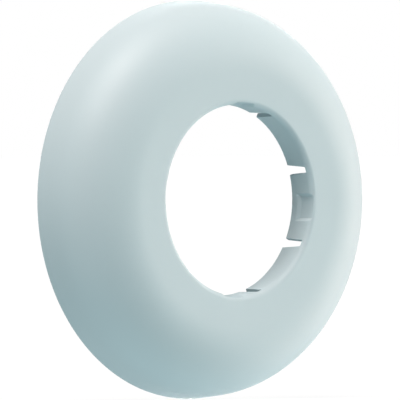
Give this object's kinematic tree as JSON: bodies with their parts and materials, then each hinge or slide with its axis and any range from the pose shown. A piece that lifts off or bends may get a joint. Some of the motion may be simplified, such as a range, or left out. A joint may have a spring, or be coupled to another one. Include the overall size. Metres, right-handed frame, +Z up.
{
  "type": "pipe escutcheon",
  "caption": "One-piece domed pipe escutcheon, hollow and open at the back, whose rounded lip rolls into a slit collar that springs onto the pipe and hides the hole in the wall.",
  "frame": {"origin": "on the pipe's axis, midway along the collar's gripping wall", "axes": "Y along the pipe's axis, +Y into the wall and -Y out of the front; +Z up, +X to the right as seen from the front"},
  "size_m": [0.1882, 0.037, 0.1882],
  "materials": {
    "moulded_plastic": "satin as moulded, cool white"
  },
  "bodies": {
    "root": {"escutcheon": "moulded_plastic"}
  },
  "joints": []
}
